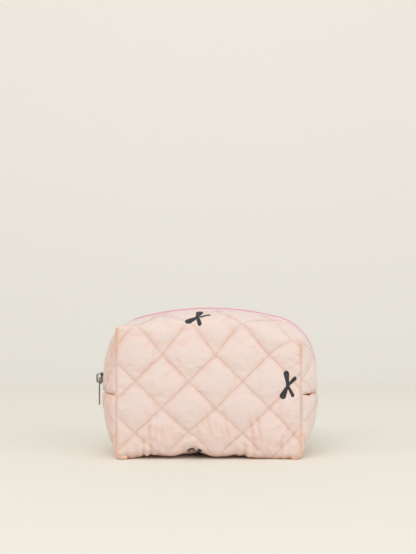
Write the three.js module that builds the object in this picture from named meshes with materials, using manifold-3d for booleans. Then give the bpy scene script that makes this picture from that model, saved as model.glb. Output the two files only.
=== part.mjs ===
// A quilted make-up bag with boxed corners, closed by a coil zip that runs from the seam on one
// end, over the top, to the seam on the other end.
//
// Millimetres, +Z up, +X to the right, the front faces -Y. The origin is the middle of the base's
// underside. The walls, ends, base and top gussets are quilted sheet: outer fabric, wadding and
// lining, each a separate solid. The upper half of the bag is two lips, front and back, that fold
// outwards at the height of the end seams when the zip is open.
import * as THREE from "three";
import { mergeVertices } from "three/addons/utils/BufferGeometryUtils.js";
import Module from "manifold-3d";

// ---- the bag ----
const faceWidth = 166; // front and back walls, corner seam to corner seam
const bagDepth = 84; // end panels, corner seam to corner seam
const cornerSeamHeight = 116; // base to the ear on top of each corner seam
const crownRise = 17.5; // zip line at mid-width, above the ears
const endSeamHeight = 57.5; // seam across each end, where the zip stops
const endBulge = 15.5; // how far an end swells past the corner seams, at its seam
const wallBulge = 5; // how far a wall swells past the corner seams, half way up
const creaseRise = 5; // front and back top folds, higher at mid-width than at the ears
const endLean = THREE.MathUtils.degToRad(15); // arc of the zip line on an end, up to its corner bend
const crownSlope = THREE.MathUtils.degToRad(15); // slope of the crown where it meets a corner bend

// ---- the quilted sheet, from the outside in ----
const outerThickness = 0.8;
const waddingThickness = 2.6;
const liningThickness = 0.6;
const layerGap = 0.3;
const seamGap = 0.4; // between panels that are sewn together

// ---- the binding over each inner seam allowance ----
const bindingWidth = 7;
const bindingThickness = 0.6;
const allowanceThickness = 1.2; // raw edges that the binding wraps
const bindingRoom = 1; // end binding to the curved lining outside it

// ---- the zip ----
const coilGap = 1.3; // between the two coils
const coilWidth = 2.25;
const coilHeight = 1.3;
const coilProud = 0.5; // coil above the outer fabric
const tapeWidth = 12.4;
const tapeThickness = 0.6;
const tapeShows = 6.4; // tape between its coil's edge and the folded fabric edge

// ---- the slider ----
const sliderRise = 11; // slider's middle above the end seam, zip closed
const sliderLength = 11;
const sliderNoseWidth = 7.6;
const sliderTailWidth = 6;
const plateThickness = 1;
const plateRoom = 0.35; // lower plate to tape
const coilRoom = 1.3; // upper plate to coil: the lips lift past it as they part
const postThickness = 0.6;
const postLength = 3;
const bridgeSpan = 8; // middle of one leg to middle of the other
const bridgeStrap = 1;
const bridgeWidth = 2.4;
const springThickness = 0.4;

// ---- the pull ----
const pullLength = 24.5; // pivot to tip
const pullWidth = 7;
const pullTipWidth = 6;
const pullThickness = 1.2;
const pullRoom = 0.6; // clear space round the pull's bar
const pullHole = 3; // diameter, near the tip

// ---- worked out from the sizes above ----
const halfFace = faceWidth / 2;
const halfDepth = bagDepth / 2;
const zipEndX = halfFace + endBulge;
const zipTop = cornerSeamHeight + crownRise;
const sliderZ = endSeamHeight + sliderRise;
const waddingInset = outerThickness + layerGap;
const liningInset = waddingInset + waddingThickness + layerGap;
const sheetThickness = liningInset + liningThickness;
const lipStart = endSeamHeight + seamGap / 2;
const lowerTop = endSeamHeight - seamGap / 2;
const fabricEdgeY = coilGap / 2 + coilWidth + tapeShows - layerGap;
const tapeEdgeY = coilGap / 2 + tapeWidth;
const coilInset = coilHeight - coilProud;
const tapeInset = Math.max(coilInset, outerThickness) + layerGap;

const wasm = await Module();
wasm.setup();

// ---- solids ----

// A closed solid between two grids of points, outer and inner, both functions of (u, v) from 0 to 1.
function slab(cellsU, cellsV, outer, inner) {
  const positions = [];
  const indices = [];
  const across = cellsV + 1;
  const perGrid = (cellsU + 1) * across;
  for (const face of [outer, inner])
    for (let i = 0; i <= cellsU; i++)
      for (let j = 0; j <= cellsV; j++)
        positions.push(...face(i / cellsU, j / cellsV).toArray());
  const quad = (a, b, c, d) => indices.push(a, b, c, a, c, d);
  for (let i = 0; i < cellsU; i++)
    for (let j = 0; j < cellsV; j++) {
      const a = i * across + j;
      const b = a + across;
      quad(a, b, b + 1, a + 1);
      quad(perGrid + a, perGrid + a + 1, perGrid + b + 1, perGrid + b);
    }
  const wall = (a, b) => quad(b, a, perGrid + a, perGrid + b);
  for (let i = 0; i < cellsU; i++) {
    wall(i * across, (i + 1) * across);
    wall((i + 1) * across + cellsV, i * across + cellsV);
  }
  for (let j = 0; j < cellsV; j++) {
    wall(j + 1, j);
    wall(cellsU * across + j, cellsU * across + j + 1);
  }
  const geometry = new THREE.BufferGeometry();
  geometry.setAttribute("position", new THREE.Float32BufferAttribute(positions, 3));
  geometry.setIndex(indices);
  return facingOut(geometry);
}

function toManifold(geometry) {
  const bare = geometry.index ? geometry.toNonIndexed() : geometry.clone();
  bare.deleteAttribute("normal");
  bare.deleteAttribute("uv");
  const merged = mergeVertices(bare, 1e-4);
  return new wasm.Manifold(
    new wasm.Mesh({
      numProp: 3,
      vertProperties: merged.attributes.position.array,
      triVerts: new Uint32Array(merged.index.array),
    }),
  );
}

function toGeometry(solid) {
  const { vertProperties, triVerts } = solid.getMesh();
  const geometry = new THREE.BufferGeometry();
  geometry.setAttribute("position", new THREE.BufferAttribute(new Float32Array(vertProperties), 3));
  geometry.setIndex(new THREE.BufferAttribute(new Uint32Array(triVerts), 1));
  return geometry;
}

// The same geometry with its faces turned round if they point inwards.
function facingOut(geometry) {
  if (toManifold(geometry).volume() > 0) return geometry;
  const index = geometry.index.array;
  for (let i = 0; i < index.length; i += 3)
    [index[i + 1], index[i + 2]] = [index[i + 2], index[i + 1]];
  return geometry;
}

function extruded(shape, depth, curveSegments = 6) {
  return new THREE.ExtrudeGeometry(shape, { depth, bevelEnabled: false, curveSegments });
}

function box(lengthX, lengthY, lengthZ, x, y, z) {
  return new THREE.BoxGeometry(lengthX, lengthY, lengthZ).translate(x, y, z);
}

function join(...geometries) {
  return toGeometry(geometries.map(toManifold).reduce((whole, next) => whole.add(next)));
}

// ---- the zip line ----

// The zip line in the XZ plane, on the outer surface: a straight rise, an arc round the bag's middle
// that the slider follows, a corner bend and the crown, each tangent to the next. The bend's and the
// crown's radii are what the heights and the two slopes leave.
const bendCentre = (() => {
  const crownShare = (1 - Math.cos(crownSlope)) * (Math.cos(endLean) / Math.sin(crownSlope) - 1);
  const rise = zipTop - sliderZ - zipEndX;
  const reach = rise / (Math.sin(endLean) - Math.cos(crownSlope) + crownShare);
  return {
    x: reach * Math.cos(endLean),
    z: sliderZ + reach * Math.sin(endLean),
    radius: zipEndX - reach,
  };
})();
const crownRadius = bendCentre.x / Math.sin(crownSlope) + bendCentre.radius;

// Half of the zip line, from the left end seam to mid-width, as points with the outward normal.
function leftStations(cells) {
  const bendTurn = Math.PI / 2 - crownSlope - endLean;
  const onArc = (centreX, centreZ, radius, angle) => ({
    x: centreX - radius * Math.cos(angle),
    z: centreZ + radius * Math.sin(angle),
    nx: -Math.cos(angle),
    nz: Math.sin(angle),
  });
  const stretches = [
    (f) => ({ x: -zipEndX, z: lipStart + f * (sliderZ - lipStart), nx: -1, nz: 0 }),
    (f) => onArc(0, sliderZ, zipEndX, f * endLean),
    (f) => onArc(-bendCentre.x, bendCentre.z, bendCentre.radius, endLean + f * bendTurn),
    (f) => onArc(0, zipTop - crownRadius, crownRadius, Math.PI / 2 - crownSlope * (1 - f)),
  ];
  const before = stretches.flatMap((at, k) =>
    Array.from({ length: cells[k] }, (_, i) => at(i / cells[k])),
  );
  return [...before, stretches[stretches.length - 1](1)];
}

const stationCells = [2, 3, 7, 6]; // rise, end arc, corner bend, half crown
const earStation = stationCells[0] + stationCells[1] + 3; // the zip line passes the ears here
const stations = (() => {
  const left = leftStations(stationCells);
  const right = left.slice(0, -1).reverse();
  return [...left, ...right.map((s) => ({ x: -s.x, z: s.z, nx: -s.nx, nz: s.nz }))];
})();
const lastStation = stations.length - 1;

// The edge that a top gusset shares with its wall: up a corner seam, over the top fold, down the other.
function gussetEdge(i, inset) {
  const halfX = halfFace - inset;
  const top = cornerSeamHeight - inset;
  const fromEnd = Math.min(i, lastStation - i);
  const side = i <= lastStation / 2 ? -1 : 1;
  if (fromEnd <= earStation)
    return { x: side * halfX, z: lipStart + ((top - lipStart) * fromEnd) / earStation };
  const x = halfX * ((2 * (i - earStation)) / (lastStation - 2 * earStation) - 1);
  return { x, z: top + creaseRise * (1 - (x / halfX) ** 2) };
}

// A point on a top gusset at a station, a distance y from the zip line and an inset below the surface.
// Across the gusset the surface is a quarter ellipse from the edge to the zip line.
function gussetPoint(i, y, inset, front) {
  const edge = gussetEdge(i, inset);
  const zip = stations[i];
  const cosine = Math.min(1, y / (halfDepth - inset));
  const share = Math.sqrt(1 - cosine ** 2);
  return new THREE.Vector3(
    edge.x + (zip.x - zip.nx * inset - edge.x) * share,
    (front ? -1 : 1) * (halfDepth - inset) * cosine,
    edge.z + (zip.z - zip.nz * inset - edge.z) * share,
  );
}

// A band on the gusset's surface from yNear to yFar off the zip line, or to the edge where yFar is null.
function gussetBand(front, yNear, yFar, from, to, cellsAcross) {
  const face = (inset) => (u, v) => {
    const i = Math.round(u * lastStation);
    const reach = halfDepth - inset;
    const angleNear = Math.acos(yNear / reach);
    const angleFar = yFar === null ? 0 : Math.acos(yFar / reach);
    return gussetPoint(i, reach * Math.cos(angleNear + (angleFar - angleNear) * v), inset, front);
  };
  return slab(lastStation, cellsAcross, face(from), face(to));
}

// ---- walls, ends and base ----

// A wall between two heights. Heights run to the base or to the top fold where they are null.
function wallBand(front, zLow, zHigh, from, to, cellsUp) {
  const face = (inset) => (u, v) => {
    const halfX = halfFace - inset - seamGap;
    const x = halfX * (2 * u - 1);
    const low = zLow ?? inset + seamGap;
    const arch = creaseRise * (1 - (x / (halfX + seamGap)) ** 2);
    const high = zHigh ?? cornerSeamHeight - inset - seamGap + arch;
    const z = low + (high - low) * v;
    const share = Math.sin((Math.PI * Math.min(z, cornerSeamHeight)) / cornerSeamHeight);
    const swell = wallBulge * (1 - (x / halfX) ** 2) * share;
    return new THREE.Vector3(x, (front ? -1 : 1) * (halfDepth - inset + swell), z);
  };
  return slab(8, cellsUp, face(from), face(to));
}

// An end panel below the end seam: flat at the base, swelling to the zip's end at the seam.
function endBand(side, zLow, zHigh, from, to, sweep = 0, cellsUp = 3) {
  const face = (inset) => (u, v) => {
    const low = zLow ?? inset + seamGap;
    const z = low + (zHigh - low) * v;
    const angle = sweep + (Math.PI - 2 * sweep) * u;
    const bulge = endBulge * Math.sin(((Math.PI / 2) * z) / endSeamHeight);
    const x = halfFace - inset + bulge * Math.sin(angle);
    return new THREE.Vector3(side * x, -(halfDepth - inset) * Math.cos(angle), z);
  };
  return slab(8, cellsUp, face(from), face(to));
}

function baseSlab(from, to) {
  const face = (inset) => (u, v) =>
    new THREE.Vector3((halfFace - inset) * (2 * u - 1), (halfDepth - inset) * (2 * v - 1), inset);
  return slab(1, 1, face(from), face(to));
}

// The tape folded over a seam allowance: a U in plan, its mouth towards the corner it stands in.
function cornerBinding(side, front, zLow, zHigh) {
  const inner = allowanceThickness / 2;
  const outer = inner + bindingThickness;
  const start = outer + layerGap;
  const end = start + bindingWidth;
  const plan = new THREE.Shape();
  plan.moveTo(start, -outer);
  plan.lineTo(end, -outer);
  plan.lineTo(end, outer);
  plan.lineTo(start, outer);
  plan.lineTo(start, inner);
  plan.lineTo(end - bindingThickness, inner);
  plan.lineTo(end - bindingThickness, -inner);
  plan.lineTo(start, -inner);
  plan.closePath();
  const geometry = extruded(plan, zHigh - zLow);
  const turn = Math.atan2(front ? 1 : -1, -side);
  geometry.rotateZ(turn);
  const cornerX = side * (halfFace - sheetThickness);
  const cornerY = (front ? -1 : 1) * (halfDepth - sheetThickness);
  return geometry.translate(cornerX, cornerY, zLow);
}

// ---- slider and pull: +X is the way the slider travels to open the zip, +Z is away from the bag ----

const lowerPlateTop = -(tapeInset + tapeThickness + plateRoom);
const upperPlateBottom = coilProud + coilRoom;
const upperPlateTop = upperPlateBottom + plateThickness;
const pivotHeight = upperPlateTop + pullRoom + pullThickness / 2;
const bridgeUnderside = pivotHeight + Math.SQRT1_2 * pullThickness + springThickness + 2 * layerGap;
const bridgeTop = bridgeUnderside + bridgeStrap;
const legReach = bridgeSpan / 2 + bridgeStrap / 2;

function plateOutline() {
  const nose = sliderNoseWidth / 2;
  const tail = sliderTailWidth / 2;
  const half = sliderLength / 2;
  const outline = new THREE.Shape();
  outline.moveTo(half, -tail);
  outline.lineTo(half, tail);
  outline.lineTo(-half + nose, nose);
  outline.absarc(-half + nose, 0, nose, Math.PI / 2, (3 * Math.PI) / 2, false);
  outline.closePath();
  return outline;
}

// Two plates joined by the post that parts the coils, which stands at the nose.
function sliderBody() {
  const root = plateThickness / 2; // how far the post reaches into each plate
  const postHeight = upperPlateBottom - lowerPlateTop + 2 * root;
  const postX = -sliderLength / 2 + postLength / 2 + root;
  const postZ = (upperPlateBottom + lowerPlateTop) / 2;
  return join(
    extruded(plateOutline(), plateThickness).translate(0, 0, upperPlateBottom),
    extruded(plateOutline(), plateThickness).translate(0, 0, lowerPlateTop - plateThickness),
    box(postLength, postThickness, postHeight, postX, 0, postZ),
  );
}

// A strap over the pull's bar, with round shoulders, drawn in side view.
function sliderBridge() {
  const foot = upperPlateTop + layerGap;
  const shoulder = bridgeStrap * 1.5;
  const inner = legReach - bridgeStrap;
  const side = new THREE.Shape();
  side.moveTo(-legReach, foot);
  side.lineTo(-legReach, bridgeTop - shoulder);
  side.absarc(-legReach + shoulder, bridgeTop - shoulder, shoulder, Math.PI, Math.PI / 2, true);
  side.lineTo(legReach - shoulder, bridgeTop);
  side.absarc(legReach - shoulder, bridgeTop - shoulder, shoulder, Math.PI / 2, 0, true);
  side.lineTo(legReach, foot);
  side.lineTo(inner, foot);
  side.lineTo(inner, bridgeUnderside);
  side.lineTo(-inner, bridgeUnderside);
  side.lineTo(-inner, foot);
  side.closePath();
  return extruded(side, bridgeWidth).rotateX(Math.PI / 2).translate(0, bridgeWidth / 2, 0);
}

// The leaf under the bridge that presses the lock pin down.
function lockSpring() {
  const length = 2 * (legReach - bridgeStrap - layerGap);
  const height = bridgeUnderside - layerGap - springThickness / 2;
  return box(length, bridgeWidth - 2 * layerGap, springThickness, 0, 0, height);
}

// The pull hangs from its bar, with the bridge through its slot.
function pullTab() {
  const bar = pullThickness / 2;
  const slotEnd = legReach + pullRoom + bar;
  const slotHalf = bridgeWidth / 2 + pullThickness / 2;
  const tip = pullTipWidth / 2;
  const outline = new THREE.Shape();
  outline.moveTo(bar, -pullWidth / 2);
  outline.lineTo(bar, pullWidth / 2);
  outline.lineTo(-slotEnd, pullWidth / 2);
  outline.lineTo(tip - pullLength, tip);
  outline.absarc(tip - pullLength, 0, tip, Math.PI / 2, (3 * Math.PI) / 2, false);
  outline.lineTo(-slotEnd, -pullWidth / 2);
  outline.closePath();
  const slot = new THREE.Path();
  slot.moveTo(-bar, -slotHalf);
  slot.lineTo(-bar, slotHalf);
  slot.lineTo(-slotEnd, slotHalf);
  slot.lineTo(-slotEnd, -slotHalf);
  slot.closePath();
  const hole = new THREE.Path();
  hole.absarc(tip - pullLength, 0, pullHole / 2, 0, 2 * Math.PI, true);
  outline.holes.push(slot, hole);
  return extruded(outline, pullThickness, 8).translate(0, 0, pivotHeight - pullThickness / 2);
}

// ---- materials ----

const materials = {
  outerFabric: new THREE.MeshStandardMaterial({ color: "#ecd0c4", roughness: 0.85, metalness: 0 }),
  wadding: new THREE.MeshStandardMaterial({ color: "#f7f5f0", roughness: 1, metalness: 0 }),
  lining: new THREE.MeshStandardMaterial({ color: "#efdcd3", roughness: 0.8, metalness: 0 }),
  binding: new THREE.MeshStandardMaterial({ color: "#e6c3ba", roughness: 0.8, metalness: 0 }),
  zipTape: new THREE.MeshStandardMaterial({ color: "#e6abb0", roughness: 0.8, metalness: 0 }),
  zipCoil: new THREE.MeshStandardMaterial({ color: "#e8a3ac", roughness: 0.45, metalness: 0 }),
  metal: new THREE.MeshStandardMaterial({ color: "#8f8378", roughness: 0.3, metalness: 1 }),
};

function piece(name, geometry, material) {
  const mesh = new THREE.Mesh(geometry, material);
  mesh.name = name;
  return mesh;
}

// ---- assembly ----

const bag = new THREE.Group();

const faces = [
  { label: "front", front: true },
  { label: "back", front: false },
];
const ends = [
  { label: "left", side: -1 },
  { label: "right", side: 1 },
];
const paddingEdgeY = tapeEdgeY + layerGap;
const layers = [
  {
    name: "panel",
    depth: 0,
    thickness: outerThickness,
    edgeY: fabricEdgeY,
    material: materials.outerFabric,
  },
  {
    name: "wadding",
    depth: waddingInset,
    thickness: waddingThickness,
    edgeY: paddingEdgeY,
    material: materials.wadding,
  },
  {
    name: "lining",
    depth: liningInset,
    thickness: liningThickness,
    edgeY: paddingEdgeY,
    material: materials.lining,
  },
];

for (const { name, depth, thickness, edgeY, material } of layers) {
  const span = [depth, depth + thickness];
  bag.add(piece(`base_${name}`, baseSlab(...span), material));
  for (const { label, side } of ends)
    bag.add(piece(`${label}_end_${name}`, endBand(side, null, lowerTop, ...span), material));
  for (const { label, front } of faces) {
    bag.add(piece(`${label}_lower_${name}`, wallBand(front, null, lowerTop, ...span, 3), material));
    bag.add(piece(`${label}_upper_${name}`, wallBand(front, lipStart, null, ...span, 3), material));
    bag.add(piece(`${label}_gusset_${name}`, gussetBand(front, edgeY, null, ...span, 4), material));
  }
}

for (const { label, front } of faces) {
  const near = coilGap / 2;
  const tape = gussetBand(front, near, tapeEdgeY, tapeInset, tapeInset + tapeThickness, 2);
  const coil = gussetBand(front, near, near + coilWidth, -coilProud, coilInset, 1);
  bag.add(piece(`${label}_zip_tape`, tape, materials.zipTape));
  bag.add(piece(`${label}_zip_coil`, coil, materials.zipCoil));
}

const innerFoot = sheetThickness + seamGap;
const bindingTop = cornerSeamHeight - sheetThickness - bindingWidth;
for (const { label, front } of faces)
  for (const { label: end, side } of ends) {
    const lower = cornerBinding(side, front, innerFoot, endSeamHeight - seamGap);
    const upper = cornerBinding(side, front, endSeamHeight + seamGap, bindingTop);
    bag.add(piece(`${label}_${end}_lower_binding`, lower, materials.binding));
    bag.add(piece(`${label}_${end}_upper_binding`, upper, materials.binding));
  }

// The end seam's binding lies flat under the seam, along the end's curve, clear of the corner bindings.
const endBindingSweep = Math.PI / 8;
const endBindingTop = endSeamHeight - seamGap;
const endBindingFoot = endBindingTop - allowanceThickness - 2 * bindingThickness;
for (const { label, side } of ends) {
  const start = sheetThickness + bindingRoom;
  const span = [start, start + bindingWidth];
  const binding = endBand(side, endBindingFoot, endBindingTop, ...span, endBindingSweep, 1);
  bag.add(piece(`${label}_end_binding`, binding, materials.binding));
}

const slider = new THREE.Group();
slider.add(piece("slider_body", sliderBody(), materials.metal));
slider.add(piece("slider_bridge", sliderBridge(), materials.metal));
slider.add(piece("slider_lock_spring", lockSpring(), materials.metal));
slider.add(piece("zip_pull", pullTab(), materials.metal));
slider.rotation.y = -Math.PI / 2;
slider.position.set(-zipEndX, 0, sliderZ);
bag.add(slider);

export default bag;
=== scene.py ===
import math
import bpy
import numpy as np
from mathutils import Matrix, Vector


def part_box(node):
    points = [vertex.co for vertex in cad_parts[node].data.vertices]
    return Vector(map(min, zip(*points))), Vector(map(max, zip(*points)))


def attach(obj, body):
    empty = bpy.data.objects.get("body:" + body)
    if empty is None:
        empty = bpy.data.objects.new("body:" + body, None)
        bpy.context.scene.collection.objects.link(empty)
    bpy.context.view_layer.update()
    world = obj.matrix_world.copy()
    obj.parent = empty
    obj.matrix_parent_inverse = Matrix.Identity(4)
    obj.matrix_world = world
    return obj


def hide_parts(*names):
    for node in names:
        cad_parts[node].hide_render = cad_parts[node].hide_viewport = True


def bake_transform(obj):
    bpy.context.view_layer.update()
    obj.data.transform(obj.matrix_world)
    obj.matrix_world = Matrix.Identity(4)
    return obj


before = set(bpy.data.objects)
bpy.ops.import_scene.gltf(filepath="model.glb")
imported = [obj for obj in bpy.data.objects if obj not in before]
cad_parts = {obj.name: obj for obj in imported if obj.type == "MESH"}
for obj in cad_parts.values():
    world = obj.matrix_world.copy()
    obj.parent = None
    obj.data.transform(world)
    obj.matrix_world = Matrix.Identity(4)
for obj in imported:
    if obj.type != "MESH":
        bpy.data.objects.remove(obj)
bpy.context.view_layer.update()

mm = 0.001

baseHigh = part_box("base_panel")[1]
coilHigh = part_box("front_zip_coil")[1]
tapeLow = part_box("front_zip_tape")[0]
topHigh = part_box("front_gusset_panel")[1]
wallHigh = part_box("front_upper_panel")[1]
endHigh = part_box("left_end_panel")[1]
sliderLow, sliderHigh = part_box("slider_body")

coilProud = 0.5 * mm
halfFace = baseHigh.x
halfDepth = baseHigh.y
seamZ = endHigh.z + 0.2 * mm
zipEndX = coilHigh.x - coilProud
zipTopZ = coilHigh.z - coilProud
sliderZ = (sliderLow.z + sliderHigh.z) / 2
clothEdgeY = -topHigh.y
coilGapY = -coilHigh.y
tapeOuterY = -tapeLow.y
foldTopZ = wallHigh.z


viewing = {
    "distance": 1.0,  # camera to the middle of the bag
    "height": 0.162,
    "across": -0.002,
    "focalLength": 70.2,  # this and the sensor in millimetres, the others in metres
    "sensor": 36,
    "furthest": 20,
}


def makeCamera():
    data = bpy.data.cameras.new("camera")
    data.lens = viewing["focalLength"]
    data.sensor_width = viewing["sensor"]
    data.clip_end = viewing["furthest"]
    camera = bpy.data.objects.new("camera", data)
    camera.location = (viewing["across"], -viewing["distance"], viewing["height"])
    camera.rotation_euler = (math.pi / 2, 0, 0)
    bpy.context.scene.collection.objects.link(camera)
    bpy.context.scene.camera = camera
    print("camera placed")


lights = {
    "aim": (0, 0, 0.06),
    "key": {"place": (-0.5, -1.7, 2.5), "size": 2.0, "power": 33, "colour": (1.0, 0.985, 0.97)},
    "side": {"place": (-2.3, -1.2, 1.25), "size": 0.45, "power": 7, "colour": (1.0, 0.98, 0.95)},
    "fill": {"place": (1.7, -1.5, 0.9), "size": 2.2, "power": 20, "colour": (1.0, 0.985, 0.965)},
    "roomColour": (1.0, 0.985, 0.955, 1),
    "roomStrength": 0.6,
}


def areaLight(name, place, size, power, colour):
    data = bpy.data.lights.new(name, "AREA")
    data.size = size
    data.energy = power
    data.color = colour
    light = bpy.data.objects.new(name, data)
    light.location = place
    light.rotation_euler = (Vector(lights["aim"]) - Vector(place)).to_track_quat("-Z", "Y").to_euler()
    bpy.context.scene.collection.objects.link(light)


def lightRoom():
    # three soft lights, and an even light from all round
    for name in ("key", "side", "fill"):
        areaLight(name, **lights[name])
    world = bpy.data.worlds.new("room")
    bpy.context.scene.world = world
    world.use_nodes = True
    world.node_tree.nodes["Background"].inputs[0].default_value = lights["roomColour"]
    world.node_tree.nodes["Background"].inputs[1].default_value = lights["roomStrength"]
    bpy.context.scene.view_settings.view_transform = "Standard"
    print("room lit")


studio = {
    "tableColour": (0.82, 0.80, 0.735, 1),
    "wallColour": (0.96, 0.94, 0.875, 1),
    "tableHalf": 3,
    "tableBack": 0.64,
    "wallHalf": 4,
    "wallLow": -2,
    "wallHigh": 4,
    "wallDistance": 2.2,
}


def plainMaterial(name, colour, roughness):
    material = bpy.data.materials.new(name)
    material.use_nodes = True
    shader = material.node_tree.nodes["Principled BSDF"]
    shader.inputs["Base Color"].default_value = colour
    shader.inputs["Roughness"].default_value = roughness
    return material


def smooth(t):
    # 3t^2 - 2t^3 between 0 and 1
    t = np.clip(t, 0, 1)
    return t * t * (3 - 2 * t)


def bump(x, centre, width):
    # a bell: e to the minus square of the distance over the width
    return np.exp(-(((x - centre) / width) ** 2))


def meshFrom(name, points, faces, uv=None, attributes=None, shadeSmooth=True):
    # faces is one array, or several of different side counts
    parts = [np.asarray(part, np.int32) for part in (faces if isinstance(faces, list) else [faces])]
    corners = np.concatenate([part.ravel() for part in parts])
    sides = np.concatenate([np.full(len(part), part.shape[1]) for part in parts])
    mesh = bpy.data.meshes.new(name)
    mesh.vertices.add(len(points))
    mesh.vertices.foreach_set("co", np.asarray(points, np.float32).ravel())
    mesh.loops.add(len(corners))
    mesh.loops.foreach_set("vertex_index", corners)
    mesh.polygons.add(len(sides))
    mesh.polygons.foreach_set("loop_start", (np.cumsum(sides) - sides).astype(np.int32))
    mesh.update(calc_edges=True)
    mesh.polygons.foreach_set("use_smooth", np.full(len(sides), shadeSmooth))
    if uv is not None:
        layer = mesh.uv_layers.new(name="cloth")
        layer.data.foreach_set("uv", np.asarray(uv, np.float32)[corners].ravel())
    for key, values in (attributes or {}).items():
        layer = mesh.attributes.new(key, "FLOAT", "POINT")
        layer.data.foreach_set("value", np.asarray(values, np.float32).ravel())
    mesh.validate()
    piece = bpy.data.objects.new(name, mesh)
    bpy.context.scene.collection.objects.link(piece)
    return piece


def flatBoard(name, corners, material):
    board = meshFrom(name, corners, np.array([[0, 1, 2, 3]]))
    board.data.materials.append(material)
    return board


def gridFaces(shape, used, flip=False, wrapJ=False):
    # every cell of an i by j grid whose four corners are used, as indices of the used corners
    index = np.full(shape, -1)
    index[used] = np.arange(used.sum())
    if wrapJ:
        index = np.hstack([index, index[:, :1]])
    quads = np.stack([index[:-1, :-1], index[1:, :-1], index[1:, 1:], index[:-1, 1:]], -1).reshape(-1, 4)
    quads = quads[(quads >= 0).all(1)]
    return quads[:, ::-1] if flip else quads


def dressed(piece, material):
    piece.data.materials.clear()
    piece.data.materials.append(material)
    return piece


def thicken(piece, thickness):
    solid = piece.modifiers.new("thickness", "SOLIDIFY")
    solid.thickness = thickness
    solid.offset = -1
    solid.use_even_offset = False
    solid.edge_crease_outer = 1


def clothPiece(name, sheet, uv, thickness, material, attributes=None):
    # a sheet's points and faces as a piece of that thickness
    piece = meshFrom(name, sheet["points"], sheet["faces"], uv, attributes)
    thicken(piece, thickness)
    return dressed(piece, material)


form = {
    "endLean": math.radians(15),
    "crownSlope": math.radians(15),
    "earShare": 0.43,  # of the way round a corner bend, where the zip line passes the ears
    "foldRise": 5 * mm,  # top fold, mid-width above the ears
    "zipSink": 1.9 * mm,  # the cloth lies lower beside the zip, which stands up as a ridge
    "shoulderFlat": (0.3, 0.45),  # left and right
    "bottomRadius": 7 * mm,
    "seamIn": 3 * mm,  # the right front corner seam is drawn in by this much
    "baseLift": 3 * mm,  # the middle of the base stands off the table
    "wallSwell": 5 * mm,
    "cell": {
        "ear": 24, "across": 70, "top": 18, "wallTop": 9,
        "wall": 39, "base": 18, "end": 36, "endUp": 25,
    },
    "wallTopZ": 93 * mm,  # a row of quilting crossings runs along here
    "half": 10,  # cells in half a diamond
    "cellWide": 2.371 * mm,
    "cellHigh": 2.366 * mm,
    "resting": 0.3 * mm,  # nothing lies lower than this
    "leftShade": 0.4,
    "crossing": (61, 27),  # column and row of one crossing
}


def zipCurve():
    # a rise, an arc about the slider's centre, a corner bend and the crown, then the same mirrored
    lean, slope = form["endLean"], form["crownSlope"]
    share = (1 - math.cos(slope)) * (math.cos(lean) / math.sin(slope) - 1)
    reach = (zipTopZ - sliderZ - zipEndX) / (math.sin(lean) - math.cos(slope) + share)
    bendX, bendZ, bendR = reach * math.cos(lean), sliderZ + reach * math.sin(lean), zipEndX - reach
    crownR = bendX / math.sin(slope) + bendR

    def arc(x, z, radius, start, stop, steps):
        angle = np.linspace(start, stop, steps, endpoint=False)
        return np.stack([x - radius * np.cos(angle), z + radius * np.sin(angle)], -1)

    rise = np.stack([np.full(20, -zipEndX), np.linspace(seamZ, sliderZ, 20, endpoint=False)], -1)
    left = np.concatenate([
        rise,
        arc(0, sliderZ, zipEndX, 0, lean, 40),
        arc(-bendX, bendZ, bendR, lean, math.pi / 2 - slope, 80),
        arc(0, zipTopZ - crownR, crownR, math.pi / 2 - slope, math.pi / 2, 80),
    ])
    line = np.concatenate([left, [[0, zipTopZ]], left[::-1] * [-1, 1]])
    length = np.concatenate([[0], np.cumsum(np.linalg.norm(np.diff(line, axis=0), axis=1))])
    earLength = np.interp(form["earShare"], [0, 1], [length[60], length[140]])
    return line, length, earLength


zipPoints, zipLengths, zipEarLength = zipCurve()
zipLength = zipLengths[-1]


def zipAt(length):
    # x and z on the zip line at a length from its left end, and the direction away from the bag
    x = np.interp(length, zipLengths, zipPoints[:, 0])
    z = np.interp(length, zipLengths, zipPoints[:, 1])
    step = 1 * mm
    dx, dz = (np.interp(length + step, zipLengths, zipPoints[:, k])
              - np.interp(length - step, zipLengths, zipPoints[:, k]) for k in (0, 1))
    size = np.hypot(dx, dz)
    return x, z, -dz / size, dx / size


def columnLines(slump, inset=0.0, finer=1):
    # for each column: its place on the zip line and on the outer edge, which climbs one corner seam,
    # follows the top fold and comes down the other
    ear, across = form["cell"]["ear"] * finer, form["cell"]["across"] * finer
    zipPlace = np.concatenate([
        np.linspace(0, zipEarLength, ear, endpoint=False),
        np.linspace(zipEarLength, zipLength - zipEarLength, across, endpoint=False),
        np.linspace(zipLength - zipEarLength, zipLength, ear + 1),
    ])
    share = np.linspace(-1, 1, across + 1)
    x = share * (halfFace - inset)
    drop = slump[0] * smooth((-share - 0.35) / 0.65) + slump[1] * smooth((share - 0.35) / 0.65)
    foldZ = foldTopZ - inset - form["foldRise"] * share ** 2 - drop
    up = np.linspace(seamZ, foldZ[0], ear, endpoint=False)
    down = np.linspace(foldZ[-1], seamZ, ear + 1)[1:]
    edgeX = np.concatenate([np.full(ear, x[0]), x, np.full(ear, x[-1])])
    edgeZ = np.concatenate([up, foldZ, down])
    return zipPlace, edgeX, edgeZ


def evenCosines(near, far, steps, rise=13 * mm):
    # places across a quarter ellipse, as shares of its half width, an even length apart
    angle = np.linspace(math.acos(near), math.acos(far), 400)
    path = np.stack([halfDepth * np.cos(angle), rise * np.sin(angle)], -1)
    length = np.concatenate([[0], np.cumsum(np.linalg.norm(np.diff(path, axis=0), axis=1))])
    return np.cos(np.interp(np.linspace(0, length[-1], steps + 1), length, angle))


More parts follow.
